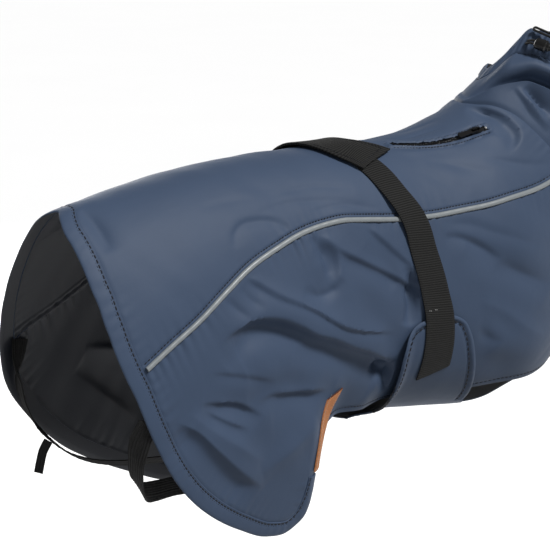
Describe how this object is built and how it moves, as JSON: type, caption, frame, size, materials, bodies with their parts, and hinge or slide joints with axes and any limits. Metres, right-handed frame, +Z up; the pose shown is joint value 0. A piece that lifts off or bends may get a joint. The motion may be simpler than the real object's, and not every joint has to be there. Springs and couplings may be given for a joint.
{
  "type": "dog raincoat",
  "caption": "Dog rain coat on its worn form: back and flank panels, thigh flaps, chest piece with hook-and-loop belt, gathered high collar with drawcord, lead zip and leg elastics.",
  "frame": {"origin": "on the inner face of the back panel, on the back line under the belt, where the wearer's back carries the coat", "axes": "+X forward to the neck, +Y to the wearer's left, +Z up"},
  "size_m": [0.6663, 0.2159, 0.4467],
  "materials": {
    "back_panel_surface": "satin",
    "flank_right_surface": "satin",
    "flank_left_surface": "satin",
    "chest_piece_surface": "satin",
    "hem_band_surface": "satin",
    "collar_surface": "satin",
    "piping_right_surface": "reflective satin",
    "piping_left_surface": "reflective satin",
    "belt_strap_right_surface": "matte",
    "belt_strap_left_surface": "matte",
    "belt_tab_surface": "matte",
    "label_strip_surface": "matte",
    "leg_elastic_right_surface": "matte",
    "leg_elastic_left_surface": "matte",
    "elastic_tail_surface": "matte",
    "zip_tape_surface": "matte",
    "zip_slider_surface": "satin black",
    "zip_pull_surface": "satin black",
    "drawcord_surface": "matte",
    "cord_lock_surface": "matte"
  },
  "bodies": {
    "coat": {"back_panel": "back_panel_surface", "flank_right": "flank_right_surface", "flank_left": "flank_left_surface", "chest_piece": "chest_piece_surface", "hem_band": "hem_band_surface", "collar": "collar_surface", "piping_right": "piping_right_surface", "piping_left": "piping_left_surface", "belt_strap_right": "belt_strap_right_surface", "belt_strap_left": "belt_strap_left_surface", "belt_tab": "belt_tab_surface", "label_strip": "label_strip_surface", "leg_elastic_right": "leg_elastic_right_surface", "leg_elastic_left": "leg_elastic_left_surface", "elastic_tail": "elastic_tail_surface", "zip_tape": "zip_tape_surface", "zip_slider": "zip_slider_surface", "drawcord": "drawcord_surface", "cord_lock": "cord_lock_surface"},
    "zip_pull": {"zip_pull": "zip_pull_surface"}
  },
  "joints": [
    {"name": "zip_pull_hinge", "type": "hinge", "parent": "coat", "child": "zip_pull", "pos_m": [0.1477, -0.04326, 0.00696], "axis": [-0.0368, 0.8302, 0.5562], "range_deg": [0, 150]}
  ]
}
